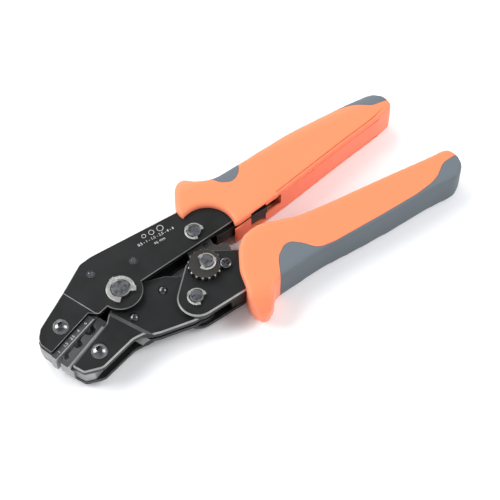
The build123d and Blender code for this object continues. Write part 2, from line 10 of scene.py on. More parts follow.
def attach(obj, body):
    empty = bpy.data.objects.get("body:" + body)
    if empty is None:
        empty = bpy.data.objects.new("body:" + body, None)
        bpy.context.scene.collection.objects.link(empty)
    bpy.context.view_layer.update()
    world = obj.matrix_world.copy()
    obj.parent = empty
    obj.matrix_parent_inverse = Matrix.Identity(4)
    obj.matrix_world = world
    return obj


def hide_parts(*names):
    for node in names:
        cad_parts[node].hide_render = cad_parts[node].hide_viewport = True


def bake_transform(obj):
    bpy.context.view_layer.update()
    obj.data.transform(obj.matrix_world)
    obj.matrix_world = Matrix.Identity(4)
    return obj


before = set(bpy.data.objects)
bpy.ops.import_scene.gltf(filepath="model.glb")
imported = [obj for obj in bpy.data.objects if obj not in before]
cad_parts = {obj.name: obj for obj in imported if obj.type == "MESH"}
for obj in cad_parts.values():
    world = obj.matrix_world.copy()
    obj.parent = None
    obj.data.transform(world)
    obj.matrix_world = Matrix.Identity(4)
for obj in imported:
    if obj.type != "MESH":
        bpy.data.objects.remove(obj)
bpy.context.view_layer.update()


# ------------------------------------------------------------------ the viewpoint
# The tool lies on its back on a table and is seen from above its jaws, a little to the side of
# the moving grip, through a long lens.
look_at = Vector((-0.00053, -0.00659, 0.010))
camera_data = bpy.data.cameras.new("camera")
camera_data.lens = 117.5
camera_data.sensor_width = 36.0
camera = bpy.data.objects.new("camera", camera_data)
camera.location = look_at + Vector((-0.22943, -0.32766, 0.69282))
camera.rotation_euler = (look_at - camera.location).to_track_quat("-Z", "Y").to_euler()
bpy.context.scene.collection.objects.link(camera)
bpy.context.scene.camera = camera
bpy.context.scene.view_settings.view_transform = "Standard"


# ------------------------------------------------------------------ the table and the studio light
# A matt white sheet under the tool, two large softboxes left and right of the camera and a
# weaker one behind the jaws.  The ceiling between the softboxes stays darker than they are.
def link_object(name, mesh):
    """A new object in the scene from a finished bmesh."""
    data = bpy.data.meshes.new(name)
    mesh.to_mesh(data)
    mesh.free()
    made = bpy.data.objects.new(name, data)
    bpy.context.scene.collection.objects.link(made)
    return made


SHEET_SIZE = 2.5
SHEET_DEPTH = 0.0003
sheet_bmesh = bmesh.new()
bmesh.ops.create_grid(sheet_bmesh, x_segments=1, y_segments=1, size=SHEET_SIZE)
bmesh.ops.translate(sheet_bmesh, verts=sheet_bmesh.verts, vec=(0, 0, -SHEET_DEPTH))
table_sheet = link_object("table_sheet", sheet_bmesh)

paper = bpy.data.materials.new("table_paper")
paper.use_nodes = True
paper_shader = paper.node_tree.nodes["Principled BSDF"]
paper_shader.inputs["Base Color"].default_value = (0.93, 0.93, 0.94, 1)
paper_shader.inputs["Roughness"].default_value = 0.9
paper_shader.inputs["Specular IOR Level"].default_value = 0.1
table_sheet.data.materials.append(paper)

for light_name, place, width, height, watts in (
        ("softbox_left", (-0.62, 0.50, 0.75), 0.62, 0.62, 10.2),
        ("softbox_right", (0.66, -0.40, 0.72), 0.52, 0.62, 6.6),
        ("softbox_back", (0.10, 0.95, 0.70), 0.70, 0.30, 4.0)):
    light_data = bpy.data.lights.new(light_name, "AREA")
    light_data.shape = "RECTANGLE"
    light_data.size = width
    light_data.size_y = height
    light_data.energy = watts
    light = bpy.data.objects.new(light_name, light_data)
    light.location = place
    light.rotation_euler = (look_at - Vector(place)).to_track_quat("-Z", "Y").to_euler()
    bpy.context.scene.collection.objects.link(light)

world = bpy.data.worlds.new("studio")
world.use_nodes = True
room = world.node_tree
room.nodes.clear()
direction = room.nodes.new("ShaderNodeTexCoord")
direction.label = "direction into the room"
direction.location = (-800, 0)
height_share = room.nodes.new("ShaderNodeSeparateXYZ")
height_share.label = "how high the direction points"
height_share.location = (-600, 0)
walls = room.nodes.new("ShaderNodeValToRGB")
walls.label = "bright walls to dim ceiling"
walls.location = (-400, 0)
glow = room.nodes.new("ShaderNodeBackground")
glow.label = "light of the room"
glow.location = (-100, 0)
room_output = room.nodes.new("ShaderNodeOutputWorld")
room_output.label = "room"
room_output.location = (100, 0)
walls.color_ramp.elements[0].position = 0.05
walls.color_ramp.elements[0].color = (1.0, 1.0, 1.0, 1)
walls.color_ramp.elements[1].position = 0.80
walls.color_ramp.elements[1].color = (0.27, 0.28, 0.30, 1)
glow.inputs["Strength"].default_value = 1.3
room.links.new(direction.outputs["Generated"], height_share.inputs["Vector"])
room.links.new(height_share.outputs["Z"], walls.inputs["Fac"])
room.links.new(walls.outputs["Color"], glow.inputs["Color"])
room.links.new(glow.outputs["Background"], room_output.inputs["Surface"])
bpy.context.scene.world = world


# ------------------------------------------------------------------ the blackened steel plates
# Frame, jaw and lever are each two 3 mm plates stamped from steel and chemically blackened.
# The finish is satin, a little uneven, and worn to bare metal on the broken edges. The edges that face the
# lower side also carry a painted highlight, brighter than the wear alone.
def blackened_steel(
        name, ground, high, edge, ground_roughness, edge_roughness, grain, side_wear=0.0, top_wear=0.0,
        rest_edge_share=1.0):
    """Chemically blackened steel whose broken edges have worn bright, with a painted highlight on the edges
    that face the lower side.
    """
    material = bpy.data.materials.new(name)
    material.use_nodes = True
    tree = material.node_tree
    tree.nodes.clear()

    edge_frame = tree.nodes.new("NodeFrame")
    edge_frame.label = "broken edges and the painted edge highlight"
    tone_frame = tree.nodes.new("NodeFrame")
    tone_frame.label = "uneven black finish"
    surface_frame = tree.nodes.new("NodeFrame")
    surface_frame.label = "satin grain and scratches"

    place = tree.nodes.new("ShaderNodeTexCoord")
    place.label = "place on the plate"
    place.location = (-1500, 0)
    facing = tree.nodes.new("ShaderNodeNewGeometry")
    facing.label = "which way the face looks"
    facing.location = (-1500, 500)
    facing.parent = edge_frame
    upward = tree.nodes.new("ShaderNodeSeparateXYZ")
    upward.label = "share that looks up"
    upward.location = (-1300, 500)
    upward.parent = edge_frame
    upright = tree.nodes.new("ShaderNodeMath")
    upright.label = "up or down alike"
    upright.location = (-1120, 500)
    upright.parent = edge_frame
    bevels = tree.nodes.new("ShaderNodeValToRGB")
    bevels.label = "only the slanting faces"
    bevels.location = (-940, 500)
    bevels.parent = edge_frame
    softened = tree.nodes.new("ShaderNodeBevel")
    softened.label = "as if every corner were softened"
    softened.location = (-1300, 980)
    softened.parent = edge_frame
    corner_turn = tree.nodes.new("ShaderNodeVectorMath")
    corner_turn.label = "how far the corner turns"
    corner_turn.location = (-1120, 980)
    corner_turn.parent = edge_frame
    corner_wear = tree.nodes.new("ShaderNodeMapRange")
    corner_wear.label = "wear on the corner"
    corner_wear.location = (-940, 980)
    corner_wear.parent = edge_frame
    all_edges = tree.nodes.new("ShaderNodeMath")
    all_edges.label = "slants and corners"
    all_edges.location = (-760, 860)
    all_edges.parent = edge_frame
    rubbing = tree.nodes.new("ShaderNodeTexNoise")
    rubbing.label = "patches of rubbing"
    rubbing.location = (-1120, 760)
    rubbing.parent = edge_frame
    rubbed = tree.nodes.new("ShaderNodeMapRange")
    rubbed.label = "how bare the edge is"
    rubbed.location = (-940, 760)
    rubbed.parent = edge_frame
    # Painted highlight: edges facing the lower side of the tool keep the full bare share, the others are
    # dimmed, following how the light falls on them.
    lower_side_facing = tree.nodes.new("ShaderNodeVectorMath")
    lower_side_facing.label = "how far it looks to the lower side"
    lower_side_facing.location = (-1120, 1240)
    lower_side_facing.parent = edge_frame
    painted_side_highlight = tree.nodes.new("ShaderNodeMapRange")
    painted_side_highlight.label = "painted highlight on the lower-side edges"
    painted_side_highlight.location = (-940, 1240)
    painted_side_highlight.parent = edge_frame
    spot = tree.nodes.new("ShaderNodeSeparateXYZ")
    spot.label = "where on the tool"
    spot.location = (-1300, 1500)
    spot.parent = edge_frame
    jaw_end = tree.nodes.new("ShaderNodeMapRange")
    jaw_end.label = "full edge share only at the jaw end"
    jaw_end.location = (-1120, 1500)
    jaw_end.parent = edge_frame
    highlight_and_end_share = tree.nodes.new("ShaderNodeMath")
    highlight_and_end_share.label = "painted highlight by side and edge share by end"
    highlight_and_end_share.location = (-760, 1300)
    highlight_and_end_share.parent = edge_frame
    raised = tree.nodes.new("ShaderNodeMapRange")
    raised.label = "raised faces rubbed"
    raised.location = (-1120, 1760)
    raised.parent = edge_frame
    edge_share = tree.nodes.new("ShaderNodeMath")
    edge_share.label = "edges with the painted side highlight"
    edge_share.location = (-640, 900)
    edge_share.parent = edge_frame
    worn_faces = tree.nodes.new("ShaderNodeMath")
    worn_faces.label = "edges and raised faces"
    worn_faces.location = (-580, 760)
    worn_faces.parent = edge_frame
    bare_edge_and_painted_highlight = tree.nodes.new("ShaderNodeMath")
    bare_edge_and_painted_highlight.label = "bare edge and painted highlight"
    bare_edge_and_painted_highlight.location = (-520, 600)
    bare_edge_and_painted_highlight.parent = edge_frame

    clouds = tree.nodes.new("ShaderNodeTexNoise")
    clouds.label = "clouds in the blackening"
    clouds.location = (-1120, 120)
    clouds.parent = tone_frame
    tone = tree.nodes.new("ShaderNodeValToRGB")
    tone.label = "black tones"
    tone.location = (-940, 120)
    tone.parent = tone_frame
    colour = tree.nodes.new("ShaderNodeMix")
    colour.label = "black to bare steel"
    colour.location = (-400, 300)
    colour.parent = tone_frame

    speckle = tree.nodes.new("ShaderNodeTexNoise")
    speckle.label = "fine satin speckle"
    speckle.location = (-1120, -240)
    speckle.parent = surface_frame
    stretch = tree.nodes.new("ShaderNodeMapping")
    stretch.label = "along the scratch direction"
    stretch.location = (-1300, -520)
    stretch.parent = surface_frame
    scratches = tree.nodes.new("ShaderNodeTexNoise")
    scratches.label = "hair scratches"
    scratches.location = (-1120, -520)
    scratches.parent = surface_frame
    scratch_lines = tree.nodes.new("ShaderNodeMapRange")
    scratch_lines.label = "only the deepest scratches"
    scratch_lines.location = (-940, -520)
    scratch_lines.parent = surface_frame
    sheen_change = tree.nodes.new("ShaderNodeMapRange")
    sheen_change.label = "patchy sheen"
    sheen_change.location = (-940, -240)
    sheen_change.parent = surface_frame
    relief = tree.nodes.new("ShaderNodeMath")
    relief.label = "grain and scratches together"
    relief.location = (-700, -400)
    relief.parent = surface_frame
    roughness = tree.nodes.new("ShaderNodeMix")
    roughness.label = "satin face to rubbed edge"
    roughness.location = (-400, -60)
    roughness.parent = surface_frame
    bump = tree.nodes.new("ShaderNodeBump")
    bump.label = "surface relief"
    bump.location = (-400, -400)
    bump.parent = surface_frame

    shader = tree.nodes.new("ShaderNodeBsdfPrincipled")
    shader.label = "blackened steel"
    shader.location = (-100, 200)
    output = tree.nodes.new("ShaderNodeOutputMaterial")
    output.label = "surface"
    output.location = (220, 200)

    upright.operation = "ABSOLUTE"
    bevels.color_ramp.elements[0].position = 0.22
    bevels.color_ramp.elements[0].color = (side_wear, side_wear, side_wear, 1)
    bevels.color_ramp.elements[1].position = 0.40
    bevels.color_ramp.elements[1].color = (1, 1, 1, 1)
    flat_again = bevels.color_ramp.elements.new(0.88)
    flat_again.color = (1, 1, 1, 1)
    flat_face = bevels.color_ramp.elements.new(0.96)
    flat_face.color = (0, 0, 0, 1)
    softened.samples = 4
    softened.inputs["Radius"].default_value = 0.00018
    corner_turn.operation = "DOT_PRODUCT"
    corner_wear.inputs["From Min"].default_value = 0.99
    corner_wear.inputs["From Max"].default_value = 0.80
    corner_wear.inputs["To Max"].default_value = 0.7
    all_edges.operation = "MAXIMUM"
    rubbing.inputs["Scale"].default_value = 120
    rubbing.inputs["Detail"].default_value = 3
    rubbed.inputs["From Min"].default_value = 0.30
    rubbed.inputs["From Max"].default_value = 0.62
    rubbed.inputs["To Min"].default_value = 0.55
    # Painted highlight: bare edge share by facing direction, fullest toward the lower side.
    lower_side_facing.operation = "DOT_PRODUCT"
    lower_side_facing.inputs[1].default_value = (-0.5, -0.87, 0)
    painted_side_highlight.inputs["From Min"].default_value = -0.45
    painted_side_highlight.inputs["From Max"].default_value = 0.35
    painted_side_highlight.inputs["To Min"].default_value = 0.22
    painted_side_highlight.inputs["To Max"].default_value = 1.0
    # Away from the jaw end the share of bare edge drops to the rest value.
    jaw_end.inputs["From Min"].default_value = -0.084
    jaw_end.inputs["From Max"].default_value = -0.079
    jaw_end.inputs["To Min"].default_value = 1.0
    jaw_end.inputs["To Max"].default_value = rest_edge_share
    highlight_and_end_share.operation = "MULTIPLY"
    raised.inputs["From Min"].default_value = 0.0148
    raised.inputs["From Max"].default_value = 0.0150
    raised.inputs["To Max"].default_value = top_wear
    edge_share.operation = "MULTIPLY"
    worn_faces.operation = "MAXIMUM"
    bare_edge_and_painted_highlight.operation = "MULTIPLY"
    clouds.inputs["Scale"].default_value = 55
    clouds.inputs["Detail"].default_value = 5
    clouds.inputs["Roughness"].default_value = 0.6
    tone.color_ramp.elements[0].position = 0.35
    tone.color_ramp.elements[0].color = (*ground, 1)
    tone.color_ramp.elements[1].position = 0.72
    tone.color_ramp.elements[1].color = (*high, 1)
    colour.data_type = "RGBA"
    colour.inputs["B"].default_value = (*edge, 1)
    speckle.inputs["Scale"].default_value = 2400
    speckle.inputs["Detail"].default_value = 2
    stretch.inputs["Rotation"].default_value = (0, 0, 0.35)
    stretch.inputs["Scale"].default_value = (60, 1500, 60)
    scratches.inputs["Scale"].default_value = 1
    scratches.inputs["Detail"].default_value = 3
    scratch_lines.inputs["From Min"].default_value = 0.62
    scratch_lines.inputs["From Max"].default_value = 0.75
    sheen_change.inputs["From Min"].default_value = 0.3
    sheen_change.inputs["From Max"].default_value = 0.7
    sheen_change.inputs["To Min"].default_value = ground_roughness - 0.05
    sheen_change.inputs["To Max"].default_value = ground_roughness + 0.06
    relief.operation = "SUBTRACT"
    roughness.data_type = "FLOAT"
    roughness.inputs["B"].default_value = edge_roughness
    bump.inputs["Strength"].default_value = grain
    bump.inputs["Distance"].default_value = 0.00003
    shader.inputs["Specular IOR Level"].default_value = 0.35

    tree.links.new(facing.outputs["Normal"], upward.inputs["Vector"])
    tree.links.new(upward.outputs["Z"], upright.inputs[0])
    tree.links.new(upright.outputs["Value"], bevels.inputs["Fac"])
    tree.links.new(place.outputs["Object"], rubbing.inputs["Vector"])
    tree.links.new(rubbing.outputs["Fac"], rubbed.inputs["Value"])
    tree.links.new(softened.outputs["Normal"], corner_turn.inputs[0])
    tree.links.new(facing.outputs["Normal"], corner_turn.inputs[1])
    tree.links.new(corner_turn.outputs["Value"], corner_wear.inputs["Value"])
    tree.links.new(corner_wear.outputs["Result"], all_edges.inputs[0])
    tree.links.new(bevels.outputs["Color"], all_edges.inputs[1])
    tree.links.new(place.outputs["Normal"], lower_side_facing.inputs[0])
    tree.links.new(lower_side_facing.outputs["Value"], painted_side_highlight.inputs["Value"])
    tree.links.new(place.outputs["Object"], spot.inputs["Vector"])
    tree.links.new(spot.outputs["X"], jaw_end.inputs["Value"])
    tree.links.new(painted_side_highlight.outputs["Result"], highlight_and_end_share.inputs[0])
    tree.links.new(jaw_end.outputs["Result"], highlight_and_end_share.inputs[1])
    tree.links.new(all_edges.outputs["Value"], edge_share.inputs[0])
    tree.links.new(highlight_and_end_share.outputs["Value"], edge_share.inputs[1])
    tree.links.new(spot.outputs["Z"], raised.inputs["Value"])
    tree.links.new(edge_share.outputs["Value"], worn_faces.inputs[0])
    tree.links.new(raised.outputs["Result"], worn_faces.inputs[1])
    tree.links.new(worn_faces.outputs["Value"], bare_edge_and_painted_highlight.inputs[0])
    tree.links.new(rubbed.outputs["Result"], bare_edge_and_painted_highlight.inputs[1])
    tree.links.new(place.outputs["Object"], clouds.inputs["Vector"])
    tree.links.new(clouds.outputs["Fac"], tone.inputs["Fac"])
    tree.links.new(bare_edge_and_painted_highlight.outputs["Value"], colour.inputs["Factor"])
    tree.links.new(tone.outputs["Color"], colour.inputs["A"])
    tree.links.new(place.outputs["Object"], speckle.inputs["Vector"])
    tree.links.new(place.outputs["Object"], stretch.inputs["Vector"])
    tree.links.new(stretch.outputs["Vector"], scratches.inputs["Vector"])
    tree.links.new(scratches.outputs["Fac"], scratch_lines.inputs["Value"])
    tree.links.new(clouds.outputs["Fac"], sheen_change.inputs["Value"])
    tree.links.new(speckle.outputs["Fac"], relief.inputs[0])
    tree.links.new(scratch_lines.outputs["Result"], relief.inputs[1])
    tree.links.new(relief.outputs["Value"], bump.inputs["Height"])
    tree.links.new(bare_edge_and_painted_highlight.outputs["Value"], roughness.inputs["Factor"])
    tree.links.new(sheen_change.outputs["Result"], roughness.inputs["A"])
    tree.links.new(colour.outputs["Result"], shader.inputs["Base Color"])
    tree.links.new(bare_edge_and_painted_highlight.outputs["Value"], shader.inputs["Metallic"])
    tree.links.new(roughness.outputs["Result"], shader.inputs["Roughness"])
    tree.links.new(bump.outputs["Normal"], shader.inputs["Normal"])
    tree.links.new(shader.outputs["BSDF"], output.inputs["Surface"])
    return material


def give_finish(names, material):
    """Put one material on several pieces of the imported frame."""
    for name in names:
        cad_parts[name].material_slots[0].material = material


plate_finish = dict(
    ground=(0.0036, 0.0038, 0.0039), high=(0.0066, 0.0070, 0.0072), edge=(0.50, 0.50, 0.49),
    ground_roughness=0.40, edge_roughness=0.32, grain=0.25)
plate_black = blackened_steel("plate_black", **plate_finish)
# The frame plates' edges are dimmer away from the jaw end.
frame_black = blackened_steel("frame_black", rest_edge_share=0.4, **plate_finish)
give_finish(("frame_plate_front", "frame_plate_back"), frame_black)
give_finish(
    ("frame_spacer", "frame_tang", "jaw_plate_front", "jaw_plate_back", "jaw_shim",
     "lever_plate_front", "lever_plate_back", "lever_spacer"), plate_black)


# ------------------------------------------------------------------ the toggle link and ratchet
# The link between the frame and the star wheel, with the toothed sector and its pawl.  They
# are heat-treated after blackening, which leaves them a browner and lighter grey.
link_brown = blackened_steel(
    "link_brown", ground=(0.030, 0.027, 0.024), high=(0.050, 0.046, 0.041), edge=(0.34, 0.33, 0.31),
    ground_roughness=0.40, edge_roughness=0.32, grain=0.4)
give_finish(("link_plate_front", "link_plate_back", "ratchet_sector", "pawl"), link_brown)


# ------------------------------------------------------------------ the star wheel
# The adjuster wheel: a toothed disc turned and milled in one piece with its hub, blackened,
# with its tooth tips rubbed bright.
# As on the plates, the wheel's edges that face the lower side carry a painted highlight.
wheel_black = blackened_steel(
    "wheel_black", ground=(0.020, 0.019, 0.017), high=(0.034, 0.032, 0.029), edge=(0.55, 0.54, 0.51),
    ground_roughness=0.34, edge_roughness=0.24, grain=0.3)
give_finish(("star_wheel", "rear_bush"), wheel_black)


# ------------------------------------------------------------------ the dies
# Two hardened die blocks with three graded nests, blackened, then ground bare where they
# close on each other.  The moving one has a raised ledge that is rubbed bright.
# As on the plates, the bare die edges that face the lower side carry a painted highlight.
die_finish = dict(
    ground=(0.032, 0.032, 0.034), high=(0.075, 0.076, 0.080), edge=(0.58, 0.58, 0.58),
    ground_roughness=0.36, edge_roughness=0.28, grain=0.6, side_wear=0.5)
give_finish(("fixed_die",), blackened_steel("die_grey", **die_finish))
give_finish(("moving_die",), blackened_steel("ledge_grey", top_wear=0.45, **die_finish))


# ------------------------------------------------------------------ pins, clips, rivets and screws
# Ground pins held by spring-steel retaining rings, riveted studs and the black button screws
# that hold the dies.
def bare_steel(name, dark, light, roughness_low, roughness_high, brush, metallic):
    """Uncoated steel with brushing marks and a mottled film of oil."""
    material = bpy.data.materials.new(name)
    material.use_nodes = True
    tree = material.node_tree
    tree.nodes.clear()

    film_frame = tree.nodes.new("NodeFrame")
    film_frame.label = "mottled film"
    brush_frame = tree.nodes.new("NodeFrame")
    brush_frame.label = "brushing marks"

    place = tree.nodes.new("ShaderNodeTexCoord")
    place.label = "place on the piece"
    place.location = (-1100, 0)
    blotches = tree.nodes.new("ShaderNodeTexNoise")
    blotches.label = "blotches of oil"
    blotches.location = (-860, 260)
    blotches.parent = film_frame
    tone = tree.nodes.new("ShaderNodeValToRGB")
    tone.label = "steel tones"
    tone.location = (-640, 260)
    tone.parent = film_frame
    gloss = tree.nodes.new("ShaderNodeMapRange")
    gloss.label = "gloss under the film"
    gloss.location = (-640, 20)
    gloss.parent = film_frame
    stretch = tree.nodes.new("ShaderNodeMapping")
    stretch.label = "along the brushing"
    stretch.location = (-860, -260)
    stretch.parent = brush_frame
    lines = tree.nodes.new("ShaderNodeTexNoise")
    lines.label = "brushed lines"
    lines.location = (-640, -260)
    lines.parent = brush_frame
    bump = tree.nodes.new("ShaderNodeBump")
    bump.label = "brushed relief"
    bump.location = (-420, -260)
    bump.parent = brush_frame
    shader = tree.nodes.new("ShaderNodeBsdfPrincipled")
    shader.label = "bare steel"
    shader.location = (-160, 120)
    output = tree.nodes.new("ShaderNodeOutputMaterial")
    output.label = "surface"
    output.location = (160, 120)

    blotches.inputs["Scale"].default_value = 420
    blotches.inputs["Detail"].default_value = 4
    blotches.inputs["Roughness"].default_value = 0.65
    tone.color_ramp.elements[0].position = 0.32
    tone.color_ramp.elements[0].color = (*dark, 1)
    tone.color_ramp.elements[1].position = 0.68
    tone.color_ramp.elements[1].color = (*light, 1)
    gloss.inputs["From Min"].default_value = 0.3
    gloss.inputs["From Max"].default_value = 0.7
    gloss.inputs["To Min"].default_value = roughness_low
    gloss.inputs["To Max"].default_value = roughness_high
    stretch.inputs["Rotation"].default_value = (0, 0, 0.9)
    stretch.inputs["Scale"].default_value = (250, 5200, 250)
    lines.inputs["Scale"].default_value = 1
    lines.inputs["Detail"].default_value = 2
    bump.inputs["Strength"].default_value = brush
    bump.inputs["Distance"].default_value = 0.00002
    shader.inputs["Metallic"].default_value = metallic

    tree.links.new(place.outputs["Object"], blotches.inputs["Vector"])
    tree.links.new(blotches.outputs["Fac"], tone.inputs["Fac"])
    tree.links.new(blotches.outputs["Fac"], gloss.inputs["Value"])
    tree.links.new(place.outputs["Object"], stretch.inputs["Vector"])
    tree.links.new(stretch.outputs["Vector"], lines.inputs["Vector"])
    tree.links.new(lines.outputs["Fac"], bump.inputs["Height"])
    tree.links.new(tone.outputs["Color"], shader.inputs["Base Color"])
    tree.links.new(gloss.outputs["Result"], shader.inputs["Roughness"])
    tree.links.new(bump.outputs["Normal"], shader.inputs["Normal"])
    tree.links.new(shader.outputs["BSDF"], output.inputs["Surface"])
    return material


pin_steel = bare_steel("pin_steel", (0.105, 0.112, 0.118), (0.27, 0.275, 0.285), 0.24, 0.38, 0.35, 1.0)
give_finish(("main_pivot_pin", "link_anchor_pin", "jaw_pin", "toggle_pin", "pawl_pin"), pin_steel)
clip_steel = bare_steel("clip_steel", (0.60, 0.585, 0.55), (0.93, 0.90, 0.85), 0.18, 0.28, 0.06, 0.9)
give_finish(("main_pivot_clip", "link_anchor_clip", "jaw_pin_clip", "toggle_pin_clip"), clip_steel)
rivet_black = bare_steel("rivet_black", (0.050, 0.051, 0.053), (0.12, 0.12, 0.125), 0.18, 0.28, 0.1, 1.0)
give_finish(("jaw_rivets", "tang_rivets", "lever_rivets", "link_rivets"), rivet_black)
stud_steel = bare_steel("stud_steel", (0.075, 0.075, 0.080), (0.25, 0.25, 0.26), 0.12, 0.20, 0.1, 1.0)
give_finish(("frame_rivets",), stud_steel)
screw_black = bare_steel("screw_black", (0.09, 0.09, 0.094), (0.24, 0.24, 0.25), 0.18, 0.30, 0.12, 1.0)
give_finish(
    ("fixed_die_screw", "moving_die_screw", "fixed_die_nut", "moving_die_nut", "lock_screw",
     "frame_spring_post", "link_spring_post", "lever_spring_post"), screw_black)


# ------------------------------------------------------------------ the springs
# Close-wound extension springs of bright music wire: a strong one that opens the handles and a
# weak one on the ratchet pawl, each hooked over a post at both ends.
spring_wire = bare_steel("spring_wire", (0.35, 0.35, 0.36), (0.62, 0.62, 0.63), 0.25, 0.35, 0.1, 1.0)
TOOL_MIDDLE = 0.010
STEPS_PER_TURN = 20
LEG_SHARE = 0.19
HOOK_REACH = 0.86
HOOK_CENTRING = 0.9


def wound_spring(name, start, end, coil_radius, wire, turns):
    """A helix of wire swept round the line between two posts, with a straight leg at each end."""
    run = end - start
    wound = bmesh.new()
    ring = bmesh.ops.create_circle(
        wound, cap_ends=False, segments=8, radius=wire / 2, matrix=Matrix.Rotation(math.pi / 2, 4, "X"))
    bmesh.ops.translate(wound, verts=ring["verts"], vec=(coil_radius - wire / 2, 0, 0))
    bmesh.ops.rotate(wound, verts=ring["verts"], cent=(0, 0, 0), matrix=Matrix.Rotation(math.pi / 2, 3, "Y"))
    leg = run.length * LEG_SHARE
    steps = STEPS_PER_TURN * turns
    bmesh.ops.translate(wound, verts=ring["verts"], vec=(leg, 0, 0))
    bmesh.ops.spin(
        wound, geom=wound.edges[:], cent=(0, 0, 0), axis=(1, 0, 0), angle=2 * math.pi * turns, steps=steps,
        dvec=((run.length - 2 * leg) / steps, 0, 0), use_merge=False)
    for open_end, reach in ((leg, -leg), (run.length - leg, leg)):
        mouth = [edge for edge in wound.edges
                 if edge.is_boundary and abs(edge.verts[0].co.x - open_end) < wire]
        pulled = bmesh.ops.extrude_edge_only(wound, edges=mouth)["geom"]
        tip = [piece for piece in pulled if isinstance(piece, bmesh.types.BMVert)]
        middle = sum((vertex.co for vertex in tip), Vector()) / len(tip)
        bmesh.ops.translate(
            wound, verts=tip,
            vec=(reach * HOOK_REACH, -middle.y * HOOK_CENTRING, -middle.z * HOOK_CENTRING))
    bmesh.ops.holes_fill(wound, edges=[edge for edge in wound.edges if edge.is_boundary], sides=0)
    bmesh.ops.remove_doubles(wound, verts=wound.verts, dist=0.000005)
    bmesh.ops.recalc_face_normals(wound, faces=wound.faces)
    for face in wound.faces:
        face.smooth = True
    turned = Matrix.Rotation(math.atan2(run.y, run.x), 4, "Z")
    bmesh.ops.transform(wound, verts=wound.verts, matrix=Matrix.Translation(start) @ turned)
    spring = link_object(name, wound)
    spring.data.materials.append(spring_wire)
    return spring


frame_hook = Vector((-0.04053, 0.02221, TOOL_MIDDLE))
link_hook = Vector((-0.02243, 0.02201, TOOL_MIDDLE))
handle_spring = wound_spring(
    "handle_spring", frame_hook, link_hook, coil_radius=0.0026, wire=0.0007, turns=14)
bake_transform(handle_spring)
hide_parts("return_spring")

pawl_hook = Vector((0.00777, -0.01649, TOOL_MIDDLE))
lever_hook = Vector((0.01797, -0.01899, TOOL_MIDDLE))
ratchet_spring = wound_spring(
    "ratchet_spring", pawl_hook, lever_hook, coil_radius=0.0015, wire=0.00045, turns=12)
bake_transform(ratchet_spring)
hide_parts("pawl_spring")


# ------------------------------------------------------------------ the grips
# Each grip is a hard orange moulding pushed over the steel, with a soft grey inlay moulded
# into its outer side.  Every edge is generously rounded, and the front faces are nearly flat.
GRIP_MIDDLE = 0.010
GRIP_HALF = 0.010
PLATES_HALF = 0.00702
MOULD_GRID = 0.0007
TIP_THINNING = 0.88
CORNER_STEPS = 8
CREASE_DEGREES = 38


def row_place(x, y):
    """A point laid out in millimetres about the main pivot, in the frame's own metres."""
    return ((x - 66.03) / 1000, (y + 7.61) / 1000)


def outline_prism(name, corners, low, high, shrink=0.0):
    """A closed block between two heights, from corners that are each rounded by their own radius."""
    block = bmesh.new()
    points = [block.verts.new((*row_place(x, y), 0)) for x, y, radius in corners]
    block.faces.new(points)
    count = len(corners)
    places = [Vector(point.co) for point in points]
    for number, point in enumerate(points):
        radius = corners[number][2] / 1000
        if radius > 0:
            before = places[number - 1] - places[number]
            after = places[(number + 1) % count] - places[number]
            reach = radius / math.tan(before.angle(after) / 2)
            bmesh.ops.bevel(
                block, geom=[point], offset=reach, offset_type="OFFSET", affect="VERTICES",
                segments=CORNER_STEPS, profile=0.5, material=-1)
    if shrink > 0:
        bmesh.ops.recalc_face_normals(block, faces=block.faces)
        rim = bmesh.ops.inset_region(block, faces=block.faces[:], thickness=shrink, use_boundary=True)
        bmesh.ops.delete(block, geom=rim["faces"], context="FACES")
    bmesh.ops.translate(block, verts=block.verts, vec=(0, 0, low))
    raised = bmesh.ops.extrude_face_region(block, geom=block.faces[:])
    upper = [piece for piece in raised["geom"] if isinstance(piece, bmesh.types.BMVert)]
    bmesh.ops.translate(block, verts=upper, vec=(0, 0, high - low))
    bmesh.ops.recalc_face_normals(block, faces=block.faces)
    return link_object(name, block)


def bake_modifiers(piece):
    """Replace a piece's mesh with what its modifiers make of it."""
    graph = bpy.context.evaluated_depsgraph_get()
    finished = bpy.data.meshes.new_from_object(piece.evaluated_get(graph))
    piece.modifiers.clear()
    piece.data = finished


def cut(piece, tools, operation="DIFFERENCE"):
    """Cut a piece with several tools in turn."""
    for tool in tools:
        step = piece.modifiers.new("cut", "BOOLEAN")
        step.operation = operation
        step.object = tool
        step.solver = "MANIFOLD"
    bake_modifiers(piece)


def clear_away(tools):
    """Take the cutting tools out of the scene."""
    for tool in tools:
        bpy.data.objects.remove(tool)


def moulded_blank(name, corners, passes, tip_start, tip_direction, tip_reach):
    """A grip before its channel is cut: all its edges melted round and its one tip thinned."""
    blank = outline_prism(name, corners, GRIP_MIDDLE - GRIP_HALF, GRIP_MIDDLE + GRIP_HALF)
    melt = blank.modifiers.new("melt", "REMESH")
    melt.mode = "VOXEL"
    melt.voxel_size = MOULD_GRID
    soften = blank.modifiers.new("soften", "SMOOTH")
    soften.factor = 0.5
    soften.iterations = passes
    bake_modifiers(blank)
    tip = bmesh.new()
    tip.from_mesh(blank.data)
    start = Vector(row_place(*tip_start))
    for vertex in tip.verts:
        share = (vertex.co.xy - start).dot(Vector(tip_direction)) / tip_reach
        if share > 0:
            thinning = math.sqrt(1 - TIP_THINNING * min(share, 1) ** 2)
            vertex.co.z = GRIP_MIDDLE + (vertex.co.z - GRIP_MIDDLE) * thinning
    tip.to_mesh(blank.data)
    tip.free()
    return blank


def finish_moulding(piece, material, body):
    """Smooth shading between the cut edges, and the piece's material, slot and body."""
    piece.data.materials.clear()
    piece.data.materials.append(material)
    piece.data.shade_smooth()
    piece.data.set_sharp_from_angle(angle=math.radians(CREASE_DEGREES))
    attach(piece, body)


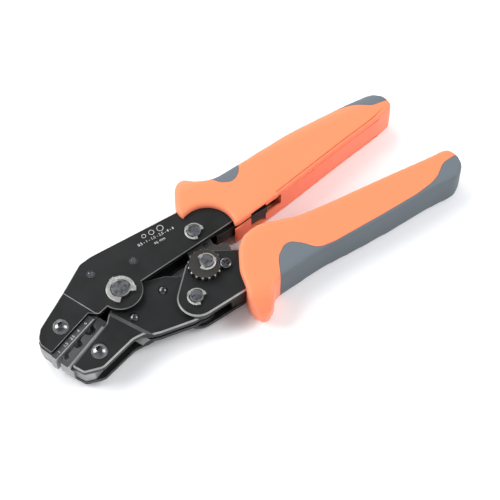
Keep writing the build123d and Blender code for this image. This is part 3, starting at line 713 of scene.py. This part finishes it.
def moulded_plastic(name, face_tone, painted_side_tone, low_rough, high_rough, specular, grain, grain_size):
    """A moulded grip material: its colour on the faces, a painted side tint where the surface turns to the
    side, a fine spark-eroded texture and faint flow clouds.
    """
    material = bpy.data.materials.new(name)
    material.use_nodes = True
    tree = material.node_tree
    tree.nodes.clear()

    tint_frame = tree.nodes.new("NodeFrame")
    tint_frame.label = "colour of the moulding and painted side tint"
    texture_frame = tree.nodes.new("NodeFrame")
    texture_frame.label = "mould texture"

    place = tree.nodes.new("ShaderNodeTexCoord")
    place.label = "place on the grip"
    place.location = (-1200, 0)
    facing = tree.nodes.new("ShaderNodeNewGeometry")
    facing.label = "which way the face looks"
    facing.location = (-1200, 420)
    facing.parent = tint_frame
    upward = tree.nodes.new("ShaderNodeSeparateXYZ")
    upward.label = "share that looks up"
    upward.location = (-1000, 420)
    upward.parent = tint_frame
    upright = tree.nodes.new("ShaderNodeMath")
    upright.label = "up or down alike"
    upright.location = (-820, 420)
    upright.parent = tint_frame
    flow = tree.nodes.new("ShaderNodeTexNoise")
    flow.label = "flow clouds"
    flow.location = (-1000, 180)
    flow.parent = tint_frame
    # Painted side tint: faces that turn to the side take the side tone, standing in for how the light falls
    # on them.
    painted_side_blend = tree.nodes.new("ShaderNodeMath")
    painted_side_blend.label = "soften the change with the clouds"
    painted_side_blend.location = (-640, 320)
    painted_side_blend.parent = tint_frame
    tone = tree.nodes.new("ShaderNodeValToRGB")
    tone.label = "painted side tint to face colour"
    tone.location = (-460, 320)
    tone.parent = tint_frame
    pebbles = tree.nodes.new("ShaderNodeTexNoise")
    pebbles.label = "spark-eroded pebbles"
    pebbles.location = (-1000, -120)
    pebbles.parent = texture_frame
    rub = tree.nodes.new("ShaderNodeMapRange")
    rub.label = "handled patches"
    rub.location = (-640, -20)
    rub.parent = texture_frame
    bump = tree.nodes.new("ShaderNodeBump")
    bump.label = "texture relief"
    bump.location = (-460, -160)
    bump.parent = texture_frame
    shader = tree.nodes.new("ShaderNodeBsdfPrincipled")
    shader.label = "moulded plastic"
    shader.location = (-160, 160)
    output = tree.nodes.new("ShaderNodeOutputMaterial")
    output.label = "surface"
    output.location = (160, 160)

    upright.operation = "ABSOLUTE"
    flow.inputs["Scale"].default_value = 38
    flow.inputs["Detail"].default_value = 3
    painted_side_blend.operation = "MULTIPLY_ADD"
    painted_side_blend.inputs[1].default_value = 0.16
    tone.color_ramp.elements[0].position = 0.12
    tone.color_ramp.elements[0].color = (*painted_side_tone, 1)
    tone.color_ramp.elements[1].position = 0.95
    tone.color_ramp.elements[1].color = (*face_tone, 1)
    pebbles.inputs["Scale"].default_value = grain_size
    pebbles.inputs["Detail"].default_value = 3
    rub.inputs["From Min"].default_value = 0.3
    rub.inputs["From Max"].default_value = 0.7
    rub.inputs["To Min"].default_value = low_rough
    rub.inputs["To Max"].default_value = high_rough
    bump.inputs["Strength"].default_value = grain
    bump.inputs["Distance"].default_value = 0.00005
    shader.inputs["Specular IOR Level"].default_value = specular

    tree.links.new(facing.outputs["Normal"], upward.inputs["Vector"])
    tree.links.new(upward.outputs["Z"], upright.inputs[0])
    tree.links.new(place.outputs["Object"], flow.inputs["Vector"])
    tree.links.new(flow.outputs["Fac"], painted_side_blend.inputs[0])
    tree.links.new(upright.outputs["Value"], painted_side_blend.inputs[2])
    tree.links.new(painted_side_blend.outputs["Value"], tone.inputs["Fac"])
    tree.links.new(place.outputs["Object"], pebbles.inputs["Vector"])
    tree.links.new(flow.outputs["Fac"], rub.inputs["Value"])
    tree.links.new(pebbles.outputs["Fac"], bump.inputs["Height"])
    tree.links.new(tone.outputs["Color"], shader.inputs["Base Color"])
    tree.links.new(rub.outputs["Result"], shader.inputs["Roughness"])
    tree.links.new(bump.outputs["Normal"], shader.inputs["Normal"])
    tree.links.new(shader.outputs["BSDF"], output.inputs["Surface"])
    return material


# The side tones are painted light: pinker on the orange's sides, darker on the inlay's sides.
grip_orange = moulded_plastic(
    "grip_orange", face_tone=(0.80, 0.222, 0.098), painted_side_tone=(0.84, 0.240, 0.135),
    low_rough=0.42, high_rough=0.52, specular=0.35, grain=0.15, grain_size=1600)
inlay_grey = moulded_plastic(
    "inlay_grey", face_tone=(0.116, 0.137, 0.155), painted_side_tone=(0.100, 0.120, 0.135),
    low_rough=0.55, high_rough=0.66, specular=0.3, grain=0.3, grain_size=2400)

PARTING = 0.00012
through = (-0.002, 0.022)


# ------------------------------------------------------------------ the fixed grip
# It is pushed over the frame plates and their tang, scooped round the link's anchor pin, and
# open on its inner side for the tang.  A fine groove runs down the inner edge of each face.
fixed_corners = [
    (46.0, 15.6, 1.6), (45.4, 20.5, 7), (52.0, 32.4, 12), (59.1, 37.6, 2.3), (62.0, 30.6, 7),
    (70.5, 25.3, 14), (88.0, 25.7, 60), (120.0, 27.2, 120), (152.0, 25.1, 50), (166.5, 22.8, 6),
    (171.0, 16.8, 5), (171.2, 9.6, 2.5), (160.0, 7.4, 20), (136.0, 4.9, 60), (96.0, -0.2, 60),
    (64.9, -3.0, 2.2),
]
fixed_pad_corners = [
    (62.0, 42, 0), (68.6, 27.0, 3), (72.6, 20.8, 5), (78.0, 17.8, 5), (83.0, 20.6, 6),
    (88.4, 28.0, 5), (96.0, 34.0, 3), (132.0, 34.0, 3), (142.0, 26.0, 10), (154.0, 21.6, 14),
    (162.0, 15.0, 7), (176, 12.4, 0), (176, 42, 0),
]
fixed_band_corners = [(82, 24.9, 0), (148, 24.9, 0), (148, 42, 0), (82, 42, 0)]
fixed_channel = outline_prism(
    "fixed_channel",
    [(30, 21.84, 0), (45.4, 20.92, 0), (122.05, 19.02, 2), (122.05, 6.98, 2), (64, 0.78, 0), (30, -0.7, 0)],
    GRIP_MIDDLE - PLATES_HALF, GRIP_MIDDLE + PLATES_HALF)
plate_slot = outline_prism(
    "plate_slot", [(60, -12, 0), (60, 1.5, 0), (94, 4.6, 1), (94, -12, 0)],
    GRIP_MIDDLE + 0.004, GRIP_MIDDLE + 0.007)
fixed_notch = outline_prism(
    "fixed_notch", [(74.8, -12, 0), (74.8, 3.2, 0), (84.3, 3.2, 0), (84.3, -12, 0)],
    GRIP_MIDDLE - 0.006, GRIP_MIDDLE + 0.0086)
slot_hollow = outline_prism(
    "slot_hollow", [(62, -2.4, 0), (62, 1.5, 0), (94, 4.0, 0.5), (94, 0.5, 0.5)],
    GRIP_MIDDLE - 0.004, GRIP_MIDDLE + 0.0041)
floor_recess = outline_prism(
    "floor_recess", [(84, -12, 0), (84, 0.3, 0), (94, 1.2, 1), (94, -12, 0)],
    GRIP_MIDDLE - 0.0012, GRIP_MIDDLE + 0.0041)
tang_room = outline_prism(
    "tang_room", [(55.2, -0.82, 0.3), (55.2, 3.4, 0), (85.5, 3.4, 0), (85.5, -0.82, 0.3)],
    GRIP_MIDDLE - 0.00402, GRIP_MIDDLE + 0.00402)
fixed_pad_hole = outline_prism("fixed_pad_hole", fixed_pad_corners, *through)
fixed_pad_shape = outline_prism("fixed_pad_shape", fixed_pad_corners, *through, shrink=PARTING)
BAND_HALF = 0.007
fixed_band_hole = outline_prism(
    "fixed_band_hole", fixed_band_corners, GRIP_MIDDLE - BAND_HALF, GRIP_MIDDLE + BAND_HALF)
fixed_band_shape = outline_prism(
    "fixed_band_shape", fixed_band_corners, GRIP_MIDDLE - BAND_HALF + PARTING,
    GRIP_MIDDLE + BAND_HALF - PARTING, shrink=PARTING)

SCOOP_R = 0.0142
SCOOP_RIM = 0.0024
SCOOP_CENTRE = (51.6, 2.6)
RIM_STEPS = 8
rim_centre = GRIP_HALF - SCOOP_RIM
beyond = GRIP_HALF + 0.001
scoop_profile = [(0, -beyond), (SCOOP_R + SCOOP_RIM, -beyond)]
for side in (-1, 1):
    for step in range(RIM_STEPS + 1):
        turn = math.pi / 2 * (step if side < 0 else RIM_STEPS - step) / RIM_STEPS
        scoop_profile.append((
            SCOOP_R + SCOOP_RIM * (1 - math.sin(turn)), side * (rim_centre + SCOOP_RIM * math.cos(turn))))
scoop_profile += [(SCOOP_R + SCOOP_RIM, beyond), (0, beyond)]
scoop_bmesh = bmesh.new()
scoop_points = [scoop_bmesh.verts.new((radius, 0, height)) for radius, height in scoop_profile]
scoop_lines = [scoop_bmesh.edges.new(pair) for pair in zip(scoop_points, scoop_points[1:])]
bmesh.ops.spin(
    scoop_bmesh, geom=scoop_points + scoop_lines, cent=(0, 0, 0), axis=(0, 0, 1), dvec=(0, 0, 0),
    angle=2 * math.pi, steps=96, use_merge=True)
bmesh.ops.remove_doubles(scoop_bmesh, verts=scoop_bmesh.verts, dist=0.000001)
bmesh.ops.recalc_face_normals(scoop_bmesh, faces=scoop_bmesh.faces)
bmesh.ops.translate(scoop_bmesh, verts=scoop_bmesh.verts, vec=(*row_place(*SCOOP_CENTRE), GRIP_MIDDLE))
scoop = link_object("scoop", scoop_bmesh)

groove_stations = (
    (91.8, -0.75), (96.0, -0.2), (110, 1.6), (123, 3.25), (136, 4.9), (150, 6.35), (160, 7.5), (165.6, 9.4))
grooves = []
for inset, depth, groove_radius in ((1.7, 0.50, 0.00045), (0.15, 2.9, 0.0006)):
    for side in (1, -1):
        line = bpy.data.curves.new("groove_line", "CURVE")
        line.dimensions = "3D"
        run = line.splines.new("NURBS")
        run.points.add(len(groove_stations) - 1)
        for point, (x, y) in zip(run.points, groove_stations):
            point.co = (*row_place(x, y + inset), GRIP_MIDDLE + side * (GRIP_HALF - depth / 1000), 1)
        run.order_u = 3
        run.use_endpoint_u = True
        line.bevel_depth = groove_radius
        line.bevel_resolution = 2
        line.use_fill_caps = True
        groove = bpy.data.objects.new("groove", line)
        bpy.context.scene.collection.objects.link(groove)
        tube = bmesh.new()
        tube.from_mesh(bpy.data.meshes.new_from_object(groove))
        bmesh.ops.remove_doubles(tube, verts=tube.verts, dist=0.000001)
        bmesh.ops.recalc_face_normals(tube, faces=tube.faces)
        bpy.data.objects.remove(groove)
        grooves.append(link_object("groove_tool", tube))

fixed_blank = moulded_blank(
    "fixed_grip_moulding", fixed_corners, passes=40, tip_start=(57, 26.5), tip_direction=(0.1, 0.995),
    tip_reach=0.0105)
fixed_inlay = bpy.data.objects.new("fixed_grip_soft", fixed_blank.data.copy())
bpy.context.scene.collection.objects.link(fixed_inlay)
fixed_band = bpy.data.objects.new("fixed_grip_band", fixed_blank.data.copy())
bpy.context.scene.collection.objects.link(fixed_band)
cut(fixed_blank, [fixed_pad_hole, fixed_band_hole, fixed_channel, plate_slot, slot_hollow, fixed_notch,
                  floor_recess, tang_room, scoop, *grooves])
cut(fixed_inlay, [fixed_pad_shape], operation="INTERSECT")
cut(fixed_band, [fixed_band_shape], operation="INTERSECT")
cut(fixed_inlay, [fixed_channel])
cut(fixed_inlay, [fixed_band], operation="UNION")
clear_away([fixed_channel, plate_slot, slot_hollow, fixed_notch, floor_recess, tang_room, fixed_pad_hole,
            fixed_pad_shape, fixed_band_hole, fixed_band_shape, fixed_band, scoop, *grooves])
finish_moulding(fixed_blank, grip_orange, "frame")
finish_moulding(fixed_inlay, inlay_grey, "frame")
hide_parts("fixed_grip_shell")
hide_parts("fixed_grip_inlay")


# ------------------------------------------------------------------ the moving grip
# It is pushed over the lever plates.  Its head swells into a finger guard that turns outwards,
# and its inlay rises to a thumb rest and wraps round the tail.
moving_corners = [
    (58.6, -14.2, 6), (64.2, -9.6, 5), (74.0, -8.2, 14), (93.0, -15.8, 30), (110.0, -18.4, 60),
    (145.0, -22.8, 90), (166.0, -25.6, 30), (177.4, -26.8, 4), (179.5, -33.0, 8),
    (177.6, -39.4, 5), (171.0, -43.2, 5), (156.0, -41.8, 60), (131.6, -41.4, 90),
    (112.5, -40.4, 60), (94.0, -38.9, 40), (74.5, -39.2, 30), (62.4, -39.9, 5),
    (56.4, -47.2, 8), (50.7, -51.0, 2.1), (47.7, -48.7, 2.3), (47.4, -39.6, 10),
    (49.8, -33.0, 12), (52.0, -24.8, 14),
]
moving_pad_corners = [
    (58.0, -56, 0), (63.0, -44.3, 6), (71.4, -29.6, 8), (79.4, -24.6, 5), (85.4, -30.0, 7),
    (90.2, -36.6, 7), (99.0, -38.2, 16), (128.0, -39.4, 60), (148.0, -39.8, 40),
    (161.0, -38.6, 16), (170.0, -32.8, 7), (184, -32.4, 0), (184, -56, 0),
]
moving_channel = outline_prism(
    "moving_channel",
    [(40, -5.75, 0), (46.5, -5.78, 3), (58.8, -13.68, 3), (70, -14.48, 8), (124.05, -24.98, 2),
     (124.05, -36.02, 2), (60, -35.22, 5), (49.8, -34.52, 0), (40, -34.6, 0)],
    GRIP_MIDDLE - PLATES_HALF, GRIP_MIDDLE + PLATES_HALF)
moving_pad_hole = outline_prism("moving_pad_hole", moving_pad_corners, *through)
moving_pad_shape = outline_prism("moving_pad_shape", moving_pad_corners, *through, shrink=PARTING)
JAW_PIN = (27.5, -24.2)
JAW_EYE_R = 0.024
eye_bmesh = bmesh.new()
bmesh.ops.create_cone(
    eye_bmesh, cap_ends=True, segments=128, radius1=JAW_EYE_R, radius2=JAW_EYE_R, depth=2 * PLATES_HALF)
bmesh.ops.translate(eye_bmesh, verts=eye_bmesh.verts, vec=(*row_place(*JAW_PIN), GRIP_MIDDLE))
jaw_eye_room = link_object("jaw_eye_room", eye_bmesh)

moving_blank = moulded_blank(
    "moving_grip_moulding", moving_corners, passes=40, tip_start=(60, -38.5), tip_direction=(-0.25, -0.968),
    tip_reach=0.0115)
moving_inlay = bpy.data.objects.new("moving_grip_soft", moving_blank.data.copy())
bpy.context.scene.collection.objects.link(moving_inlay)
cut(moving_blank, [moving_pad_hole, moving_channel, jaw_eye_room])
cut(moving_inlay, [moving_pad_shape], operation="INTERSECT")
cut(moving_inlay, [moving_channel])
clear_away([moving_channel, moving_pad_hole, moving_pad_shape, jaw_eye_room])
finish_moulding(moving_blank, grip_orange, "hand_lever")
finish_moulding(moving_inlay, inlay_grey, "hand_lever")
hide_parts("moving_grip_shell")
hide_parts("moving_grip_inlay")


# ------------------------------------------------------------------ the etched marks
# Nest sizes etched white into the frame plate beside the link's pin, under three rings that
# grow with the size, and stamped again along the strip of the fixed die.
mark_white = bare_steel("mark_white", (0.42, 0.42, 0.41), (0.66, 0.66, 0.65), 0.5, 0.6, 0.05, 0.0)
MARK_DEPTH = 0.00003
FIGURE_HEIGHT = 0.0021


def flat_words(words, x, y, height, turn):
    """Thin raised figures as a bmesh, centred on a point laid out about the main pivot."""
    letters = bpy.data.curves.new("letters", "FONT")
    letters.body = words
    letters.size = FIGURE_HEIGHT
    letters.align_x = "CENTER"
    letters.align_y = "CENTER"
    letters.extrude = MARK_DEPTH / 2
    letters.resolution_u = 2
    sign = bpy.data.objects.new("letters", letters)
    bpy.context.scene.collection.objects.link(sign)
    bpy.context.view_layer.update()
    raised = bmesh.new()
    raised.from_mesh(bpy.data.meshes.new_from_object(sign))
    bpy.data.objects.remove(sign)
    where = Matrix.Translation((*row_place(x, y), height)) @ Matrix.Rotation(math.radians(turn), 4, "Z")
    bmesh.ops.transform(raised, verts=raised.verts, matrix=where)
    return raised


def flat_ring(radius, line_width, x, y, height):
    """A thin raised ring as a bmesh."""
    ring = bmesh.new()
    bmesh.ops.create_circle(ring, cap_ends=True, segments=40, radius=radius)
    inner = bmesh.ops.inset_region(ring, faces=ring.faces[:], thickness=line_width, use_boundary=True)
    middle = [face for face in ring.faces if face not in inner["faces"]]
    bmesh.ops.delete(ring, geom=middle, context="FACES")
    raised = bmesh.ops.extrude_face_region(ring, geom=ring.faces[:])
    upper = [piece for piece in raised["geom"] if isinstance(piece, bmesh.types.BMVert)]
    bmesh.ops.translate(ring, verts=upper, vec=(0, 0, MARK_DEPTH))
    bmesh.ops.recalc_face_normals(ring, faces=ring.faces)
    bmesh.ops.translate(ring, verts=ring.verts, vec=(*row_place(x, y), height))
    return ring


def joined(name, shapes, body):
    """One piece from several bmeshes, riding on a body."""
    whole = bpy.data.meshes.new(name)
    together = bmesh.new()
    for shape in shapes:
        shape.to_mesh(whole)
        shape.free()
        together.from_mesh(whole)
    bmesh.ops.remove_doubles(together, verts=together.verts, dist=0.0000005)
    bpy.data.meshes.remove(whole)
    piece = link_object(name, together)
    piece.data.materials.clear()
    piece.data.materials.append(mark_white)
    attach(piece, body)
    return piece


PLATE_TOP = 0.01700
plate_marks = [
    flat_ring(0.0011, 0.00022, 25.2, 18.6, PLATE_TOP),
    flat_ring(0.0014, 0.00024, 29.4, 18.3, PLATE_TOP),
    flat_ring(0.0017, 0.00026, 34.2, 17.9, PLATE_TOP),
    flat_words("0.5 - 1 - 1.5 - 2.5 - 4 - 6", 29.9, 15.0, PLATE_TOP + MARK_DEPTH / 2, -4),
    flat_words("sq. mm", 30.2, 12.1, PLATE_TOP + MARK_DEPTH / 2, -4),
]
joined("plate_marks", plate_marks, "frame")

STRIP_TOP = 0.01510
STRIP_LINE = -2.45
DIE_DEGREES = 17.5
die_turn = math.radians(180 + DIE_DEGREES)
die_marks = []
for along, words in ((23.6, "6"), (28.6, "4"), (33.0, "2.5"), (37.8, "1.5"), (42.6, "1")):
    x = along * math.cos(die_turn) - STRIP_LINE * math.sin(die_turn)
    y = along * math.sin(die_turn) + STRIP_LINE * math.cos(die_turn)
    die_marks.append(flat_words(words, x, y, STRIP_TOP + MARK_DEPTH / 2, DIE_DEGREES))
joined("die_marks", die_marks, "frame")
